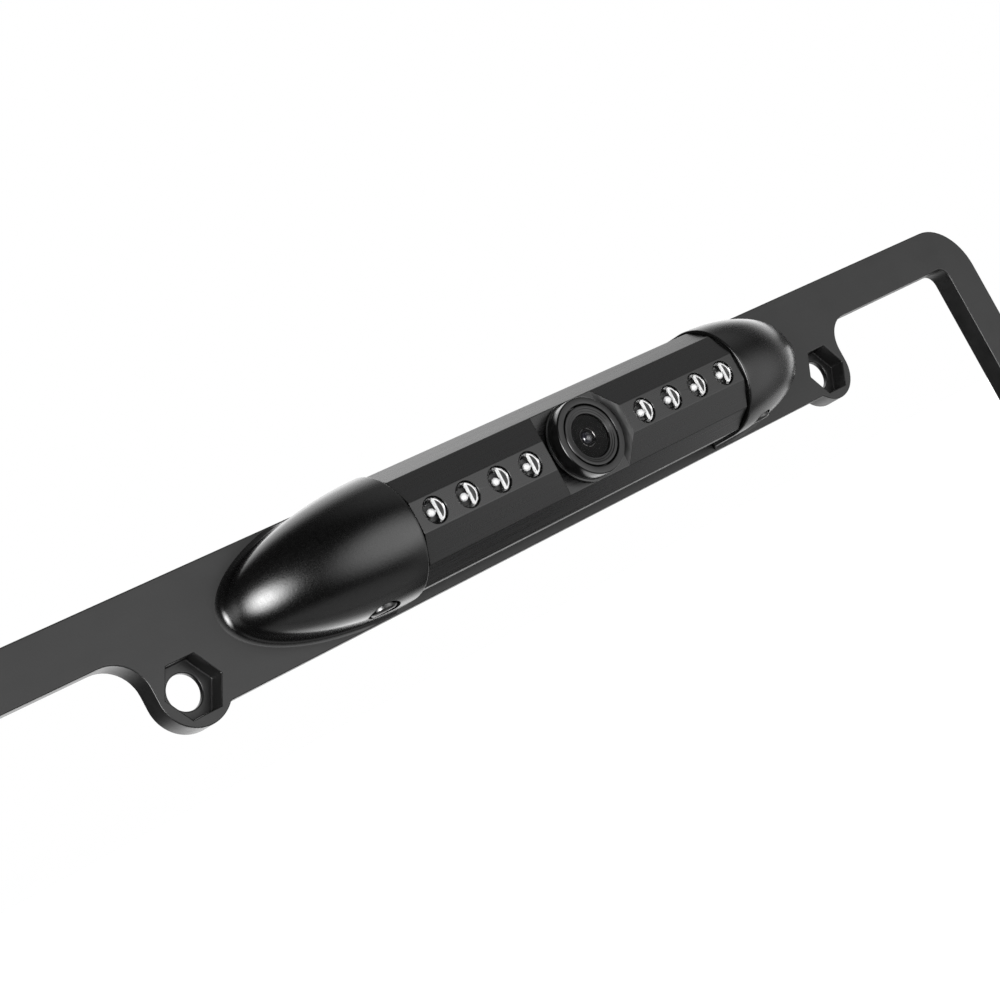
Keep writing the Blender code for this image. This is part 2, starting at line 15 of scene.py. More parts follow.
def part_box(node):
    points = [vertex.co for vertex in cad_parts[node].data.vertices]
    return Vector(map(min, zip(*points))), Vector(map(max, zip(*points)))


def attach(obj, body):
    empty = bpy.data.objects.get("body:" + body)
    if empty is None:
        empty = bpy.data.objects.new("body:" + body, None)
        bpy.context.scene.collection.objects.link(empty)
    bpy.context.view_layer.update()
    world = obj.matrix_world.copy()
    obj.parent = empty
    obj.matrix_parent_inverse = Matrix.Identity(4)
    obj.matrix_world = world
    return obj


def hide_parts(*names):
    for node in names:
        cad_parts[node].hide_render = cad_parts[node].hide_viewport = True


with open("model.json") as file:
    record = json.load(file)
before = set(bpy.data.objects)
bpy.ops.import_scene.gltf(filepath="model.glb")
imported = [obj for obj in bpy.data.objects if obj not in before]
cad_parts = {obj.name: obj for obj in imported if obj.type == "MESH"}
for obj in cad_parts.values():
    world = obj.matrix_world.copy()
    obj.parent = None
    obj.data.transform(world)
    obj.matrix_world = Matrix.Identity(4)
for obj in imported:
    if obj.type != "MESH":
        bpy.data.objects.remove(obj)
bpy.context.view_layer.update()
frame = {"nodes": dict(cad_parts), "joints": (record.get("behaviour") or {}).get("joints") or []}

MM = 0.001
PI = math.pi
REACH = 2.0                    # how far a cutter runs past the face it opens
SIDES = ((-1, "left"), (1, "right"))


# ------------------------------------------------------------------ sizes, some read from the frame

def span(node):
    """Lowest and highest corner of a CAD node, in millimetres."""
    low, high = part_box(node)
    return low / MM, high / MM


def joint_place(name):
    joint = next(j for j in frame["joints"] if j["name"] == name)
    return Vector(joint["pos_m"]) / MM


# The plate frame.
PLATE_LOW, PLATE_HIGH = span("frame_plate")
FRONT = PLATE_LOW.y            # the plate's front face; its back is at 0
HALF_W = PLATE_HIGH.x
TOP = PLATE_HIGH.z
BOTTOM = PLATE_LOW.z
BOLT_X = 177.8 / 2
LOWER_BOLT_Z = -120.65
TOP_RAIL_W = 9.9
SIDE_RAIL_W = 10.4
BOTTOM_RAIL_W = 7.4
BAR_LOW = -5.0
LUG_R = 7.15
LUG_FILLET = 6.8
OUTER_CORNER_R = 12.6
INNER_CORNER_R = 3.0
OUTER_CORNER_STEPS = 14
INNER_CORNER_STEPS = 7
FILLET_STEPS = 12
UPPER_LUG_STEPS = 24
LOWER_LUG_STEPS = 30
HEX_ACROSS_FLATS = 10.1
HEX_DEPTH = 3.75
BOLT_HOLE_R = 3.35
PLATE_ROUND = 0.28

# The screws that hold the caps. Depths are from the plate's back.
CAP_SCREW_X = 61.5
CAP_SCREW_Z = 5.6
CAP_SEAT_R = 3.1
CAP_SEAT_DEPTH = 2.5
CAP_WAY_R = 1.8
CAP_HEAD_TOP = 0.3
CAP_HEAD_RIM = 0.8
CAP_HEAD_UNDERSIDE = 2.1
CAP_HEAD_SLOPE = 0.6
CAP_SHANK_R = 1.3
SOCKET_R = 1.2
SOCKET_DEPTH = 1.3

# The tube. Distances that end in HALF are from its middle.
AXIS = joint_place("tube_tilt")
TUBE_LOW, TUBE_HIGH = span("tube_housing")
TUBE_SIDES = 12
FACET = (TUBE_HIGH.z - TUBE_LOW.z) / 2    # from the axis to a facet
TUBE_R = FACET / math.cos(PI / TUBE_SIDES)
TUBE_HALF = TUBE_HIGH.x
TUBE_BORE_R = 7.4
TUBE_ROUND = 0.13
CAMERA_HOLE_R = 6.3
GLAND_HOLE_R = 2.8
LED_HOLE_R = 2.6
NOTCH_FLOOR = TUBE_R * math.cos(PI / 4)
NOTCH_FLOOR_HALF = 8.4
NOTCH_TOP_HALF = 10.8
NOTCH_CUT_HALF = 20
WALL_NORMAL = 0.3              # a face turned further along X than this is a wall of the recess
SLOT_HALF_X = 48.3
SLOT_HALF_Z = 10.0

# The end caps.
CAP_LOW, CAP_HIGH = span("right_end_cap")
CAP_MOUTH = CAP_LOW.x
CAP_REACH = {-1: 32.1, 1: 32.6}    # from mouth to tip; in the CAD model both are as long as the right one
CAP_R = (CAP_HIGH.z - CAP_LOW.z) / 2
CAP_RISE = FRONT - CAP_LOW.y   # from the plate's face to the cap's crown
CAP_HEIGHT_POWER = 1.7
CAP_ROWS = 56
CAP_ROW_POWER = 1.35           # over 1, so the rows crowd towards the plate
CAP_COLUMNS = 96
CAP_SEARCH = 1.3               # the cap's surface is looked for out to this many cap lengths
CAP_HALVINGS = 34
CAP_SHARP = 40
RIM_ROUND = 0.3
RIM_TURNS = (30, 60, 90)
FLARE_SIDE = 0.9               # the flare's radius at the cap's sides
FLARE_TIP = {-1: 1.7, 1: 4.8}  # and at its tip
FLARE_POWER = 1.5
FLARE_MARGIN = 0.3             # it ends this far inside the bar's edges
FLARE_LOW = BAR_LOW - AXIS.z + FLARE_MARGIN
FLARE_HIGH = TOP - AXIS.z - FLARE_MARGIN
MOUTH_BORE_R = 11.35
MOUTH_DEPTH = 3.7
JOURNAL_BORE_R = 4.8
JOURNAL_BORE_DEPTH = 12

# The lock screws.
LOCK = joint_place("right_lock_turn")
LOCK_RECESS_R = 3.2
LOCK_RECESS_DEPTH = 2.2
RECESS_CHAMFER = 0.25
RECESS_LEAD = 0.1              # the chamfer starts this far under the cap
LOCK_HEAD_T = 1.5
LOCK_HEAD_SLOPE = (0.35, 0.5)  # its height and its width
LOCK_SHANK_R = 1.5
CROSS_DEPTH = 1.1
CROSS_HALF_LENGTH = 1.7
CROSS_HALF_WIDTH = 0.36
SCREW_PROFILE_ROUND = 0.2
SCREW_EDGE_ROUND = 0.07

# The LEDs. Depths are from the dome's tip.
LED_R = 2.54
LED_WALL = 0.06
LED_DOME = 0.45
LED_PROUD = 0.3                # how far a dome stands out of its facet
LED_SEAT_DEPTH = 1.9
LED_SEAT_GAP = 0.02
LED_FLANGE_R = 2.8
LED_FLANGE_T = 0.9
LED_SIDES = 48
LED_SHARP = 40
EPOXY_SLOT, SEAT_SLOT, GLINT_SLOT, SILVER_SLOT = range(4)
LED_CUP = ((1.90, 1.75), (0.66, 2.42), (0.60, 2.36), (1.80, 1.65))    # (depth, radius)
# The pellet and its bond, painted near-white to stand for glints of reflected light: place across the LED,
# depth, radius.
LED_GLINT_BALLS = (((-0.50, -0.10), 1.20, 0.78), ((0.30, -0.15), 1.00, 0.22))
# The lead's end, painted near-white as a streak of reflected light, and its dark middle: chord, radius,
# depths of its two faces, material slot.
LED_LEADS = ((0.70, 2.28, 1.30, 0.72, GLINT_SLOT), (1.02, 1.98, 1.20, 0.69, SEAT_SLOT))

# The camera. Heights are along the lens axis, towards the front.
BARREL_LOW, BARREL_HIGH = span("camera_barrel")
BEZEL_LOW, BEZEL_HIGH = span("lens_bezel")
LENS_FRONT = AXIS.y - BARREL_LOW.y
BARREL_FOOT_R = (BARREL_HIGH.z - BARREL_LOW.z) / 2
FOOT_STEP = 0.4
BARREL_R = BARREL_FOOT_R - FOOT_STEP
BARREL_TAIL_R = 6.0
BARREL_BORE_R = 4.85
BARREL_CHAMFER = 0.2
BARREL_ROUND = 0.1
BARREL_FOOT_T = 0.3
FOOT_LIFT = 0.3                # from the recess's floor to the foot
BARREL_GROOVE = ((0.90, 0), (0.75, 0.12), (0.60, 0), (0.35, 0))    # (height over the foot, depth)
BEZEL_R = (BEZEL_HIGH.z - BEZEL_LOW.z) / 2
BEZEL_GAP = 0.28
BEZEL_SEAT_DEPTH = 1.9
BEZEL_SUNK = 0.05
BEZEL_ROUND = 0.04
LIP_CHAMFER = 0.08
PANE_R = 4.4
PANE_T = 0.45
PANE_DEPTH = 0.25
PANE_GAP = 0.04
PANE_CHAMFER = 0.06
# The bezel's face, from the glass outwards: (depth, radius).
BEZEL_STEPS = ((0.30, PANE_R + PANE_GAP), (0.22, PANE_R + 0.12), (0.22, 4.85), (0.12, 4.95),
               (0.12, 5.30), (0, 5.42), (0, BEZEL_R - 0.1), (0.12, BEZEL_R))
WELL = 1.35                    # the lens ring's depth behind the barrel's front
WELL_BACK = -0.5               # heights in the well are from that ring's face
WELL_RIM = WELL - PANE_DEPTH - PANE_T - 0.02
WELL_R = PANE_R - 0.1
BLACK_SLOT, RING_SLOT, LENS_SLOT = range(3)
# The rings round the small lens: (height, radius) pairs and a material slot.
WELL_RINGS = (
    (((WELL_BACK, 1.86), (WELL_BACK, WELL_R), (WELL_RIM, WELL_R), (0, 1.95), (0, 1.86)), BLACK_SLOT),
    (((WELL_BACK, 1.74), (WELL_BACK, 1.84), (0.04, 1.84), (0.06, 1.80), (0, 1.74)), RING_SLOT),
    (((WELL_BACK, 1.28), (WELL_BACK, 1.72), (-0.05, 1.72), (-0.20, 1.28)), BLACK_SLOT),
)
LENS_R = 1.26
LENS_TOP = 0.55
LENS_RISE = 0.95
RING_SHARP = 30
GLASS_SHARP = 35
GLAND_NECK_R = 2.5
GLAND_WAY_R = 1.6
GLAND_FLANGE_T = 0.7
GLAND_FLANGE_W = 0.8
GLAND_ROUND = 0.25
GLAND_SHARP = 50

# How many sides stand for a circle, and steps for a part of one.
FINE_SIDES = 128
ROUND_SIDES = 96
BORE_SIDES = 64
HOLE_SIDES = 48
SMALL_SIDES = 40
WAY_SIDES = 32
BALL_SIDES = 24
BALL_STEPS = 10
LEAD_STEPS = 14


# ------------------------------------------------------------------ node materials

class Nodes:
    """A small helper round one material's node tree."""

    def __init__(self, name):
        self.material = bpy.data.materials.new(name)
        self.material.use_nodes = True
        self.tree = self.material.node_tree
        self.shader = self.tree.nodes["Principled BSDF"]
        self.coord = self.tree.nodes.new("ShaderNodeTexCoord").outputs["Object"]

    def set(self, **values):
        for name, value in values.items():
            self.shader.inputs[name.replace("_", " ")].default_value = value

    def link(self, source, target):
        self.tree.links.new(source, target)

    def stretched(self, scale):
        """Object coordinates in millimetres, scaled along each axis."""
        node = self.tree.nodes.new("ShaderNodeMapping")
        node.inputs["Scale"].default_value = [s / MM for s in scale]
        self.link(self.coord, node.inputs["Vector"])
        return node.outputs["Vector"]

    def noise(self, scale, detail, rough, stretch=(1, 1, 1)):
        node = self.tree.nodes.new("ShaderNodeTexNoise")
        node.inputs["Scale"].default_value = scale
        node.inputs["Detail"].default_value = detail
        node.inputs["Roughness"].default_value = rough
        self.link(self.stretched(stretch), node.inputs["Vector"])
        return node.outputs["Fac"]

    def cells(self, scale):
        node = self.tree.nodes.new("ShaderNodeTexVoronoi")
        node.inputs["Scale"].default_value = scale
        self.link(self.stretched((1, 1, 1)), node.inputs["Vector"])
        return node.outputs["Distance"]

    def ramp(self, source, low, high, start=0.35, end=0.65):
        """Maps a value onto two colours or two numbers."""
        if isinstance(low, (int, float)):
            node = self.tree.nodes.new("ShaderNodeMapRange")
            for name, value in (("From Min", start), ("From Max", end), ("To Min", low), ("To Max", high)):
                node.inputs[name].default_value = value
            self.link(source, node.inputs["Value"])
            return node.outputs["Result"]
        node = self.tree.nodes.new("ShaderNodeValToRGB")
        node.color_ramp.elements[0].position = start
        node.color_ramp.elements[0].color = (*low, 1)
        node.color_ramp.elements[1].position = end
        node.color_ramp.elements[1].color = (*high, 1)
        self.link(source, node.inputs["Fac"])
        return node.outputs["Color"]

    def plus(self, first, second, share):
        """The first value and a share of the second."""
        node = self.tree.nodes.new("ShaderNodeMath")
        node.operation = "MULTIPLY_ADD"
        node.inputs[1].default_value = share
        self.link(second, node.inputs[0])
        self.link(first, node.inputs[2])
        return node.outputs["Value"]

    def bump(self, height, strength, distance):
        node = self.tree.nodes.new("ShaderNodeBump")
        node.inputs["Strength"].default_value = strength
        node.inputs["Distance"].default_value = distance * MM
        self.link(height, node.inputs["Height"])
        self.link(node.outputs["Normal"], self.shader.inputs["Normal"])

    def colour(self, source):
        self.link(source, self.shader.inputs["Base Color"])

    def roughness(self, source):
        self.link(source, self.shader.inputs["Roughness"])


def grey(value):
    return (value, value, value)


def frame_paint():
    """Satin powder coat: a fine orange peel, faint cloudiness and faint drag marks along the bar."""
    n = Nodes("frame_paint")
    clouds = n.noise(0.09, 4, 0.6)
    drag = n.noise(1.0, 3, 0.6, (0.05, 0.4, 0.4))
    peel = n.noise(2.6, 2, 0.5)
    tone = n.plus(clouds, drag, 0.35)
    n.colour(n.ramp(tone, grey(0.008), grey(0.014), 0.5, 0.85))
    n.roughness(n.ramp(tone, 0.36, 0.46, 0.5, 0.85))
    n.bump(n.plus(peel, drag, 0.3), 0.16, 0.05)
    n.set(Specular_IOR_Level=0.5)
    return n.material


def cap_paint():
    """Half-gloss black with a visible orange peel."""
    n = Nodes("cap_paint")
    peel = n.noise(1.5, 3, 0.55)
    grain = n.noise(4.0, 2, 0.5)
    n.colour(n.ramp(peel, grey(0.001), grey(0.003)))
    n.roughness(n.ramp(grain, 0.22, 0.28))
    n.bump(peel, 0.24, 0.045)
    n.set(Specular_IOR_Level=0.65)
    return n.material


def tube_anodising():
    """Black anodised extrusion: die lines run along the tube."""
    n = Nodes("tube_anodising")
    lines = n.noise(1.0, 4, 0.65, (0.03, 2.2, 2.2))
    grain = n.noise(5.0, 2, 0.5)
    n.colour(n.ramp(lines, grey(0.004), grey(0.007)))
    n.roughness(n.ramp(n.plus(lines, grain, 0.4), 0.24, 0.32, 0.45, 0.9))
    n.bump(n.plus(lines, grain, 0.3), 0.03, 0.015)
    n.set(Specular_IOR_Level=0.64)
    return n.material


def milled_finish():
    """The camera recess, cut after extrusion and left duller."""
    n = Nodes("milled_finish")
    strokes = n.noise(1.0, 3, 0.6, (2.2, 0.3, 0.3))
    n.colour(n.ramp(strokes, grey(0.004), grey(0.008)))
    n.roughness(n.ramp(strokes, 0.50, 0.62))
    n.bump(strokes, 0.05, 0.015)
    return n.material


def barrel_paint():
    """Black paint with a fine grain and a slow drift of tone."""
    n = Nodes("barrel_paint")
    grain = n.noise(6.0, 3, 0.6)
    broad = n.noise(0.6, 2, 0.5)
    n.colour(n.ramp(broad, grey(0.003), grey(0.006)))
    n.roughness(n.ramp(grain, 0.19, 0.27))
    n.bump(grain, 0.05, 0.015)
    return n.material


def clear_resin(name, cover):
    """Clear resin or glass: a soft gloss and faint flow marks. cover is how much it hides."""
    n = Nodes(name)
    flow = n.noise(0.8, 2, 0.5)
    n.colour(n.ramp(flow, grey(0.004), grey(0.012)))
    n.roughness(n.ramp(flow, 0.28, 0.36))
    n.bump(flow, 0.05, 0.04)
    n.set(IOR=1.5, Alpha=cover)
    return n.material


def painted_glint_white():
    """Painted highlight: the near-white pellet, bond and lead end inside an LED, standing in for glints of
    reflected light.
    """
    n = Nodes("painted_glint_white")
    grain = n.noise(4.0, 2, 0.5)
    # Near-white colour: the painted glints inside an LED.
    n.colour(n.ramp(grain, grey(0.90), grey(0.99)))
    n.roughness(n.ramp(grain, 0.25, 0.40))
    n.bump(grain, 0.3, 0.05)
    n.set(Specular_IOR_Level=1.0)
    return n.material


def silvered_lead():
    """Streaked silver: the cup inside an LED and the ring round the small lens."""
    n = Nodes("silvered_lead")
    streak = n.noise(1.6, 3, 0.6, (1, 1, 0.3))
    n.colour(n.ramp(streak, grey(0.12), grey(0.50)))
    n.roughness(n.ramp(streak, 0.20, 0.40))
    n.bump(streak, 0.6, 0.15)
    n.set(Metallic=1.0)
    return n.material


def smoked_seat():
    """The dark resin under an LED's dome, and the dark middle of its lead end."""
    n = Nodes("smoked_seat")
    cloud = n.noise(0.9, 3, 0.6)
    n.colour(n.ramp(cloud, grey(0.03), grey(0.07)))
    n.roughness(n.ramp(cloud, 0.30, 0.45))
    n.bump(cloud, 0.6, 0.2)
    n.set(Specular_IOR_Level=0.3)
    return n.material


def lens_blacking():
    """Matt black on the faces round the lens."""
    n = Nodes("lens_blacking")
    grain = n.noise(5.0, 3, 0.6)
    n.colour(n.ramp(grain, grey(0.003), grey(0.006)))
    n.roughness(n.ramp(grain, 0.45, 0.60))
    n.bump(grain, 0.1, 0.02)
    n.set(Specular_IOR_Level=0.06)
    return n.material


def coated_glass():
    """Dark glass with a coating whose tint drifts slightly."""
    n = Nodes("lens_coating")
    drift = n.noise(0.35, 2, 0.5)
    n.colour(n.ramp(drift, (0.014, 0.014, 0.021), (0.02, 0.02, 0.03)))
    n.roughness(n.ramp(drift, 0.018, 0.03))
    n.bump(drift, 0.02, 0.02)
    n.set(IOR=1.52, Specular_IOR_Level=1.0, Coat_Weight=1.0, Coat_Roughness=0.02)
    return n.material


def rubber():
    n = Nodes("rubber")
    grain = n.noise(3.5, 4, 0.65)
    n.colour(n.ramp(grain, grey(0.008), grey(0.018)))
    n.roughness(n.ramp(grain, 0.62, 0.85))
    n.bump(grain, 0.3, 0.06)
    return n.material


def blackened_steel():
    """Oxide-black screw steel, rubbed bright in places."""
    n = Nodes("blackened_steel")
    turning = n.noise(2.0, 4, 0.6, (1, 1, 3))
    rub = n.noise(0.7, 3, 0.6)
    n.colour(n.ramp(rub, grey(0.045), grey(0.12)))
    n.roughness(n.ramp(turning, 0.25, 0.45))
    n.bump(turning, 0.12, 0.03)
    n.set(Metallic=1.0)
    return n.material


def turned_brass():
    n = Nodes("turned_brass")
    lines = n.noise(3.0, 3, 0.6, (1, 1, 4))
    n.colour(n.ramp(lines, (0.48, 0.33, 0.12), (0.66, 0.48, 0.20)))
    n.roughness(n.ramp(lines, 0.22, 0.42))
    n.bump(lines, 0.1, 0.03)
    n.set(Metallic=1.0)
    return n.material


def moulded_plastic():
    n = Nodes("moulded_plastic")
    grain = n.noise(4.0, 3, 0.6)
    broad = n.noise(0.4, 2, 0.5)
    n.colour(n.ramp(broad, grey(0.010), grey(0.018)))
    n.roughness(n.ramp(grain, 0.42, 0.60))
    n.bump(grain, 0.15, 0.04)
    return n.material


def solder_mask():
    """Green board with a fine woven substrate under the mask and copper islands."""
    n = Nodes("solder_mask")
    islands = n.cells(0.55)
    weave = n.noise(6.0, 2, 0.5)
    n.colour(n.ramp(islands, (0.012, 0.10, 0.035), (0.03, 0.20, 0.07), 0.25, 0.6))
    n.roughness(n.ramp(weave, 0.25, 0.40))
    n.bump(n.plus(islands, weave, 0.3), 0.1, 0.04)
    return n.material


def sensor_face():
    n = Nodes("sensor_face")
    sites = n.cells(3.0)
    n.colour(n.ramp(sites, (0.05, 0.045, 0.07), (0.12, 0.10, 0.14), 0.1, 0.6))
    n.roughness(n.ramp(sites, 0.12, 0.25, 0.1, 0.6))
    n.set(Coat_Weight=0.5)
    return n.material


def polyimide():
    """Amber ribbon with darker conductor lanes."""
    n = Nodes("polyimide")
    lanes = n.noise(1.0, 2, 0.4, (0.1, 0.1, 2.4))
    n.colour(n.ramp(lanes, (0.30, 0.13, 0.03), (0.62, 0.33, 0.08)))
    n.roughness(n.ramp(lanes, 0.25, 0.40))
    n.bump(lanes, 0.12, 0.04)
    return n.material


def floor_white():
    n = Nodes("floor_white")
    mottle = n.noise(0.004, 3, 0.5)
    n.colour(n.ramp(mottle, grey(0.80), grey(0.86)))
    n.roughness(n.ramp(mottle, 0.70, 0.80))
    n.set(Emission_Color=(1, 1, 1, 1), Emission_Strength=0.95)
    return n.material


FRAME_PAINT = frame_paint()
CAP_PAINT = cap_paint()
TUBE_FINISH = tube_anodising()
MILLED = milled_finish()
BARREL_PAINT = barrel_paint()
EPOXY = clear_resin("clear_epoxy", 0.05)
PAINTED_GLINT = painted_glint_white()
SILVER = silvered_lead()
LED_SEAT = smoked_seat()
COVER_GLASS = clear_resin("coated_cover_glass", 0.10)
LENS_BLACK = lens_blacking()
LENS_GLASS = coated_glass()
RUBBER = rubber()
STEEL = blackened_steel()
BRASS = turned_brass()
PLASTIC = moulded_plastic()
BOARD = solder_mask()
SENSOR = sensor_face()
RIBBON = polyimide()


# ------------------------------------------------------------------ mesh tools

WELD = 0.005                   # points nearer than this become one
FLAT = 0.2                     # faces that meet at less than this many degrees become one
ROUND_STEPS = 3
ROUND_LIMIT = 2.2              # an edge stays at least this many times as long as its rounding
ROUND_LEAST = 0.01             # a rounding smaller than this is left out
DOME_STEPS = 10


def new_object(name, bm, *materials):
    """Turns a bmesh in millimetres into an object in metres."""
    bmesh.ops.recalc_face_normals(bm, faces=bm.faces[:])
    bmesh.ops.scale(bm, vec=(MM, MM, MM), verts=bm.verts[:])
    mesh = bpy.data.meshes.new(name)
    bm.to_mesh(mesh)
    bm.free()
    for material in materials:
        mesh.materials.append(material)
    mesh.shade_smooth()
    obj = bpy.data.objects.new(name, mesh)
    bpy.context.scene.collection.objects.link(obj)
    return obj


def carve(obj, cutters):
    """Takes the cutters away from obj for good, and removes them."""
    for cutter in cutters:
        modifier = obj.modifiers.new(cutter.name, 'BOOLEAN')
        modifier.operation = 'DIFFERENCE'
        modifier.solver = 'EXACT'
        modifier.object = cutter
    bake(obj)
    for cutter in cutters:
        bpy.data.objects.remove(cutter)


def bake(obj):
    """Replaces obj's mesh with the result of its modifiers."""
    bpy.context.view_layer.update()
    evaluated = obj.evaluated_get(bpy.context.evaluated_depsgraph_get())
    mesh = bpy.data.meshes.new_from_object(evaluated)
    obj.modifiers.clear()
    obj.data = mesh


def keep_sharp(obj, angle):
    """Shades edges sharper than the angle, in degrees, as sharp."""
    obj.data.set_sharp_from_angle(angle=math.radians(angle))


def soften(obj, width, segments=3, angle=25):
    """Rounds every edge sharper than the angle, and keeps the flats flat."""
    bm = bmesh.new()
    bm.from_mesh(obj.data)
    bmesh.ops.remove_doubles(bm, verts=bm.verts[:], dist=WELD * MM)
    bmesh.ops.dissolve_limit(bm, angle_limit=math.radians(FLAT), verts=bm.verts[:], edges=bm.edges[:])
    bm.to_mesh(obj.data)
    bm.free()
    obj.data.shade_smooth()
    bevel = obj.modifiers.new("soft_edges", 'BEVEL')
    bevel.width = width * MM
    bevel.segments = segments
    bevel.limit_method = 'ANGLE'
    bevel.angle_limit = math.radians(angle)
    bevel.use_clamp_overlap = False
    flats = obj.modifiers.new("flat_faces", 'WEIGHTED_NORMAL')
    flats.keep_sharp = True


def arc(centre, radius, start, end, steps):
    """Points on an arc, angles in degrees, both ends included."""
    points = []
    for i in range(steps + 1):
        angle = math.radians(start + (end - start) * i / steps)
        points.append((centre[0] + radius * math.cos(angle), centre[1] + radius * math.sin(angle)))
    return points


def circle(centre, radius, sides):
    return arc(centre, radius, 0, 360 - 360 / sides, sides - 1)


def along_x(u, v, depth):
    return Vector((depth, u, v))


def along_y(u, v, depth):
    return Vector((u, depth, v))


def along_z(u, v, depth):
    return Vector((u, v, depth))


def add_prism(bm, outline, low, high, place, slot=0):
    """Adds a prism. place turns two outline coordinates and a depth into a point."""
    rings = [[bm.verts.new(place(u, v, depth)) for u, v in outline] for depth in (low, high)]
    for i in range(len(outline)):
        j = (i + 1) % len(outline)
        bm.faces.new((rings[0][i], rings[0][j], rings[1][j], rings[1][i])).material_index = slot
    for ring in rings:
        bm.faces.new(ring).material_index = slot


def prism(name, outline, low, high, place, *materials):
    bm = bmesh.new()
    add_prism(bm, outline, low, high, place)
    return new_object(name, bm, *materials)


def box(name, low, high):
    outline = [(low[0], low[2]), (high[0], low[2]), (high[0], high[2]), (low[0], high[2])]
    return prism(name, outline, low[1], high[1], along_y)


def add_turned(bm, profile, matrix, sides, slot=0):
    """Adds a turned surface from (height, radius) pairs. A radius of 0 is a point on the axis."""
    rings = []
    for height, radius in profile:
        if radius == 0:
            rings.append([bm.verts.new(matrix @ Vector((0, 0, height)))] * sides)
            continue
        ring = []
        for i in range(sides):
            angle = 2 * PI * i / sides
            point = Vector((radius * math.cos(angle), radius * math.sin(angle), height))
            ring.append(bm.verts.new(matrix @ point))
        rings.append(ring)
    loop = profile[0][1] != 0
    count = len(rings)
    for i in range(count if loop else count - 1):
        for j in range(sides):
            k = (j + 1) % sides
            corners = (rings[i][j], rings[i][k], rings[(i + 1) % count][k], rings[(i + 1) % count][j])
            unique = list(dict.fromkeys(corners))
            if len(unique) > 2:
                bm.faces.new(unique).material_index = slot


def turned(name, profile, matrix, *materials, sides=BORE_SIDES):
    bm = bmesh.new()
    add_turned(bm, profile, matrix, sides)
    return new_object(name, bm, *materials)


def plug(*steps):
    """(height, radius) pairs of a solid turned piece, closed onto the axis at both ends."""
    return [(steps[0][0], 0)] + list(steps) + [(steps[-1][0], 0)]


def rounded(profile, radius):
    """Rounds a turned profile's corners, apart from those on the axis and next to it."""
    result = []
    count = len(profile)
    for i, point in enumerate(profile):
        before = Vector(profile[i - 1])
        here = Vector(point)
        after = Vector(profile[(i + 1) % count])
        reach = min(radius, (before - here).length / ROUND_LIMIT, (after - here).length / ROUND_LIMIT)
        if point[1] == 0 or before.y == 0 or after.y == 0 or reach < ROUND_LEAST:
            result.append(point)
            continue
        start = here + (before - here).normalized() * reach
        end = here + (after - here).normalized() * reach
        for s in range(ROUND_STEPS + 1):
            t = s / ROUND_STEPS
            curve = start * (1 - t) ** 2 + here * 2 * t * (1 - t) + end * t ** 2
            result.append((curve.x, curve.y))
    return result


def dome(apex, radius, rise):
    """(height, radius) pairs of a flattened dome, from its edge to its apex."""
    points = []
    for i in range(DOME_STEPS):
        angle = PI / 2 * i / DOME_STEPS
        points.append((apex - rise + rise * math.sin(angle), radius * math.cos(angle)))
    return points + [(apex, 0)]


def facing_front(x=0.0, y=AXIS.y, z=AXIS.z):
    """Local +Z becomes -Y. The origin is on the tube axis unless y or z says otherwise."""
    return Matrix.Translation((x, y, z)) @ Matrix.Rotation(PI / 2, 4, 'X')


def facing_side(sign):
    return Matrix.Translation((0, AXIS.y, AXIS.z)) @ Matrix.Rotation(sign * PI / 2, 4, 'Y')


def facing_up(x, y):
    return Matrix.Translation((x, y, 0))


def stand_for(obj, body, slot, *nodes):
    """obj rides on a body and replaces CAD nodes. slot is not used."""
    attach(obj, body)
    if nodes:
        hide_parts(*nodes)


# ------------------------------------------------------------------ plate frame

def outer_outline():
    r = OUTER_CORNER_R
    x = HALF_W - r
    top = TOP - r
    low = BOTTOM + r
    outline = []
    for i, corner in enumerate(((x, top), (-x, top), (-x, low), (x, low))):
        outline += arc(corner, r, 90 * i, 90 * i + 90, OUTER_CORNER_STEPS)
    return outline


def upper_window():
    rail_low = TOP - TOP_RAIL_W
    inner_x = HALF_W - SIDE_RAIL_W
    corner_at = (inner_x - INNER_CORNER_R, rail_low - INNER_CORNER_R)
    corner = arc(corner_at, INNER_CORNER_R, 0, 90, INNER_CORNER_STEPS)
    fillet_x = BOLT_X + LUG_R + LUG_FILLET
    fillet = arc((fillet_x, rail_low - LUG_FILLET), LUG_FILLET, 90, 180, FILLET_STEPS)
    end_angle = 180 + math.degrees(math.asin(-BAR_LOW / LUG_R))
    lug = arc((BOLT_X, 0), LUG_R, 0, -(360 - end_angle), UPPER_LUG_STEPS)
    right = corner + fillet + lug
    return right + [(-x, z) for x, z in reversed(right)]


def lower_window():
    rail_top = BOTTOM + BOTTOM_RAIL_W
    inner_x = HALF_W - SIDE_RAIL_W
    corner_at = (inner_x - INNER_CORNER_R, rail_top + INNER_CORNER_R)
    fillet_z = rail_top + LUG_FILLET
    corner = arc(corner_at, INNER_CORNER_R, 0, -90, INNER_CORNER_STEPS)
    outside = arc((BOLT_X + LUG_R + LUG_FILLET, fillet_z), LUG_FILLET, 270, 180, FILLET_STEPS)
    lug = arc((BOLT_X, LOWER_BOLT_Z), LUG_R, 0, 180, LOWER_LUG_STEPS)
    inside = arc((BOLT_X - LUG_R - LUG_FILLET, fillet_z), LUG_FILLET, 0, -90, FILLET_STEPS)
    right = corner + outside + lug + inside
    return [(-x, z) for x, z in right] + list(reversed(right))


def bolt_cutters(side, z):
    """A hexagon pocket in the front and a hole right through."""
    centre = (side * BOLT_X, z)
    tag = f"{side}_{z}"
    hexagon = circle(centre, HEX_ACROSS_FLATS / math.sqrt(3), 6)
    pocket = prism(f"cut_hex_{tag}", hexagon, FRONT - REACH, FRONT + HEX_DEPTH, along_y)
    round_hole = circle(centre, BOLT_HOLE_R, HOLE_SIDES)
    hole = prism(f"cut_bolt_{tag}", round_hole, FRONT - REACH, REACH, along_y)
    return [pocket, hole]


